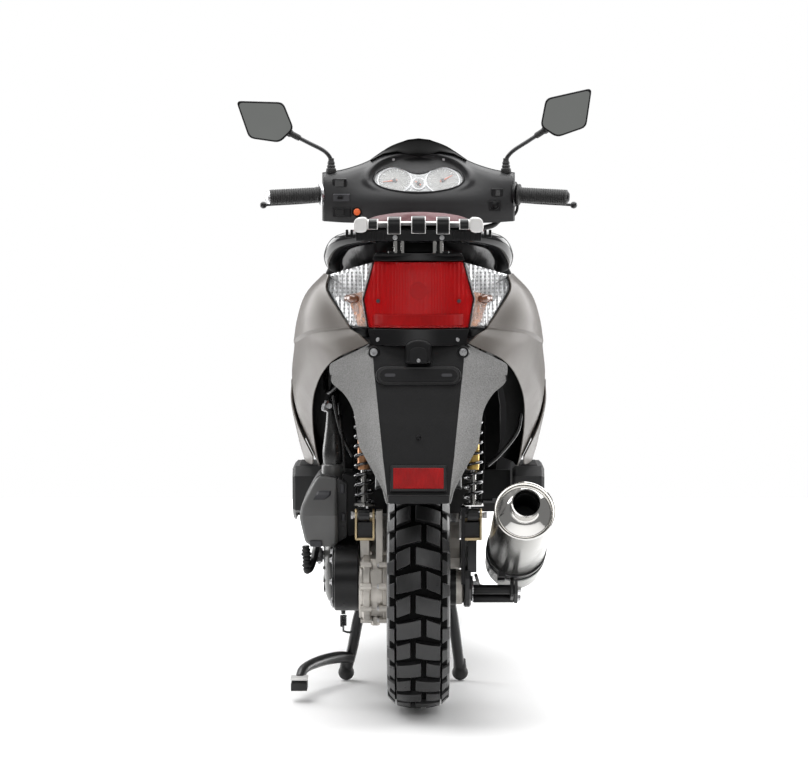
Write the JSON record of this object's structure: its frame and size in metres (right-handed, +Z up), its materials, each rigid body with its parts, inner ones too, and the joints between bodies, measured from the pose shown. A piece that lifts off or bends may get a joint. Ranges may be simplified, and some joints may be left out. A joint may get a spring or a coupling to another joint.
{
  "type": "moped scooter",
  "caption": "Step-through moped scooter with enclosed bodywork, telescopic fork, swinging belt-drive engine unit, rear rack and centre stand.",
  "frame": {"origin": "on the ground under the middle of the scooter, with the front tyre and the centre stand's feet at z = 0", "axes": "+Y forward, +X to the rider's right, +Z up"},
  "size_m": [0.7991, 1.871, 1.2386],
  "materials": {
    "paint": "satin metallic",
    "black_plastic": "textured",
    "black_steel": "satin",
    "tyre_rubber": "matt",
    "grip_rubber": "matt",
    "cast_alloy": "cast",
    "chrome_plate": "polished",
    "damper_gold": "anodised",
    "red_lens": "clear-coated",
    "clear_lens": "clear",
    "seat_vinyl": "grained vinyl",
    "tank_plastic": "moulded",
    "mirror_glass": "polished",
    "button_red": "satin"
  },
  "bodies": {
    "frame": {"main_frame": "black_steel", "front_apron": "paint", "leg_shield": "black_plastic", "floor_board": "black_plastic", "side_skirt_left": "paint", "side_skirt_right": "paint", "side_panel_left": "paint", "side_panel_right": "paint", "tail_trim": "black_plastic", "tail_lamp_housing": "chrome_plate", "tail_lamp_lens": "red_lens", "turn_lens_left": "clear_lens", "turn_lens_right": "clear_lens", "rear_mudguard": "black_plastic", "rear_reflector": "red_lens", "inner_fender": "black_plastic", "storage_bucket": "black_plastic", "fuel_tank": "tank_plastic", "grab_rail": "paint", "rear_rack": "black_plastic", "headlamp": "clear_lens"},
    "seat": {"seat_base": "black_plastic", "seat_cushion": "seat_vinyl"},
    "steering": {"steering_stem": "black_steel", "handlebar": "black_steel", "dash_rear_cover": "black_plastic", "dash_front_cover": "black_plastic", "instrument_cluster": "clear_lens", "left_grip": "grip_rubber"},
    "throttle": {"throttle_grip": "grip_rubber"},
    "lever_left": {"brake_lever_left": "black_steel"},
    "lever_right": {"brake_lever_right": "black_steel"},
    "horn": {"horn_button": "button_red"},
    "starter": {"starter_button": "button_red"},
    "turn_signal": {"turn_switch": "black_plastic"},
    "mirror_arm_left": {"mirror_stem_left": "black_steel"},
    "mirror_left": {"mirror_head_left": "mirror_glass"},
    "mirror_arm_right": {"mirror_stem_right": "black_steel"},
    "mirror_right": {"mirror_head_right": "mirror_glass"},
    "fork": {"fork_lower": "black_steel", "front_fender": "paint"},
    "front_wheel": {"front_rim": "cast_alloy", "front_tyre": "tyre_rubber", "brake_disc": "chrome_plate"},
    "engine": {"engine_case": "cast_alloy", "cvt_cover": "black_plastic", "airbox": "black_plastic", "intake_duct": "grip_rubber", "muffler": "chrome_plate", "swing_arm_right": "black_steel"},
    "rear_wheel": {"rear_rim": "cast_alloy", "rear_tyre": "tyre_rubber"},
    "stand": {"centre_stand": "black_steel"},
    "kick": {"kick_lever": "black_steel"},
    "shock_body_left": {"shock_upper_left": "damper_gold", "shock_spring_left": "black_steel"},
    "shock_rod_left": {"shock_lower_left": "damper_gold"},
    "shock_body_right": {"shock_upper_right": "damper_gold", "shock_spring_right": "black_steel"},
    "shock_rod_right": {"shock_lower_right": "damper_gold"}
  },
  "joints": [
    {"name": "steering_turn", "type": "hinge", "parent": "frame", "child": "steering", "pos_m": [0, 0.67082, 0.22011], "axis": [0, -0.454, 0.891], "range_deg": [-38, 38]},
    {"name": "fork_travel", "type": "slide", "parent": "steering", "child": "fork", "axis": [0, -0.454, 0.891], "range_m": [0, 0.07], "stiffness_N_per_m": 11000, "springref_m": -0.04},
    {"name": "front_wheel_spin", "type": "hinge", "parent": "fork", "child": "front_wheel", "pos_m": [0, 0.702, 0.236], "axis": [1, 0, 0], "continuous": true},
    {"name": "rear_suspension", "type": "hinge", "parent": "frame", "child": "engine", "pos_m": [0, -0.25, 0.365], "axis": [-1, 0, 0], "range_deg": [0, 8], "stiffness_Nm_per_rad": 2400, "springref_deg": -6.88},
    {"name": "rear_wheel_spin", "type": "hinge", "parent": "engine", "child": "rear_wheel", "pos_m": [0, -0.648, 0.24], "axis": [1, 0, 0], "continuous": true},
    {"name": "stand_fold", "type": "hinge", "parent": "engine", "child": "stand", "pos_m": [0, -0.352, 0.17], "axis": [-1, 0, 0], "range_deg": [0, 55]},
    {"name": "kick_start", "type": "hinge", "parent": "engine", "child": "kick", "pos_m": [-0.198, -0.33, 0.262], "axis": [1, 0, 0], "range_deg": [0, 55], "stiffness_Nm_per_rad": 1.5, "springref_deg": -51.57},
    {"name": "seat_open", "type": "hinge", "parent": "frame", "child": "seat", "pos_m": [0, -0.072, 0.733], "axis": [-1, 0, 0], "range_deg": [0, 75]},
    {"name": "throttle_turn", "type": "hinge", "parent": "steering", "child": "throttle", "pos_m": [0.218, 0.29, 1], "axis": [0.9806, -0.1892, -0.0516], "range_deg": [0, 70], "stiffness_Nm_per_rad": 0.25, "springref_deg": -68.75},
    {"name": "lever_left_pull", "type": "hinge", "parent": "steering", "child": "lever_left", "pos_m": [-0.204, 0.344, 0.987], "axis": [0, 0, 1], "range_deg": [0, 12], "stiffness_Nm_per_rad": 4, "springref_deg": -11.46},
    {"name": "lever_right_pull", "type": "hinge", "parent": "steering", "child": "lever_right", "pos_m": [0.204, 0.344, 0.987], "axis": [0, 0, -1], "range_deg": [0, 12], "stiffness_Nm_per_rad": 4, "springref_deg": -11.46},
    {"name": "horn_press", "type": "slide", "parent": "steering", "child": "horn", "axis": [0, 1, 0], "range_m": [0, 0.003], "stiffness_N_per_m": 700, "springref_m": -0.003},
    {"name": "starter_press", "type": "slide", "parent": "steering", "child": "starter", "axis": [0, 1, 0], "range_m": [0, 0.003], "stiffness_N_per_m": 700, "springref_m": -0.003},
    {"name": "turn_switch_slide", "type": "slide", "parent": "steering", "child": "turn_signal", "axis": [1, 0, 0], "range_m": [-0.004, 0.004]},
    {"name": "mirror_swivel_left", "type": "hinge", "parent": "steering", "child": "mirror_arm_left", "pos_m": [-0.197, 0.305, 1.054], "axis": [0, 0, 1], "range_deg": [-25, 25]},
    {"name": "mirror_tilt_left", "type": "hinge", "parent": "mirror_arm_left", "child": "mirror_left", "pos_m": [-0.29, 0.298, 1.138], "axis": [1, 0, 0], "range_deg": [-12, 12]},
    {"name": "mirror_swivel_right", "type": "hinge", "parent": "steering", "child": "mirror_arm_right", "pos_m": [0.197, 0.305, 1.054], "axis": [0, 0, 1], "range_deg": [-25, 25]},
    {"name": "mirror_tilt_right", "type": "hinge", "parent": "mirror_arm_right", "child": "mirror_right", "pos_m": [0.285, 0.298, 1.145], "axis": [1, 0, 0], "range_deg": [-12, 12]},
    {"name": "shock_tilt_left", "type": "hinge", "parent": "frame", "child": "shock_body_left", "pos_m": [-0.106, -0.61, 0.69], "axis": [-1, 0, 0], "range_deg": [0, 0.6]},
    {"name": "shock_stroke_left", "type": "slide", "parent": "shock_body_left", "child": "shock_rod_left", "axis": [0, 0.1441, 0.9896], "range_m": [0, 0.06], "deforming": ["shock_spring_left"]},
    {"name": "shock_tilt_right", "type": "hinge", "parent": "frame", "child": "shock_body_right", "pos_m": [0.106, -0.61, 0.69], "axis": [-1, 0, 0], "range_deg": [0, 0.6]},
    {"name": "shock_stroke_right", "type": "slide", "parent": "shock_body_right", "child": "shock_rod_right", "axis": [0, 0.1441, 0.9896], "range_m": [0, 0.06], "deforming": ["shock_spring_right"]}
  ],
  "couplings": [
    {"joint": "shock_tilt_left", "follows": "rear_suspension", "ratio": 0.055},
    {"joint": "shock_stroke_left", "follows": "rear_suspension", "m_per_rad": 0.4046},
    {"joint": "shock_tilt_right", "follows": "rear_suspension", "ratio": 0.055},
    {"joint": "shock_stroke_right", "follows": "rear_suspension", "m_per_rad": 0.4046}
  ]
}
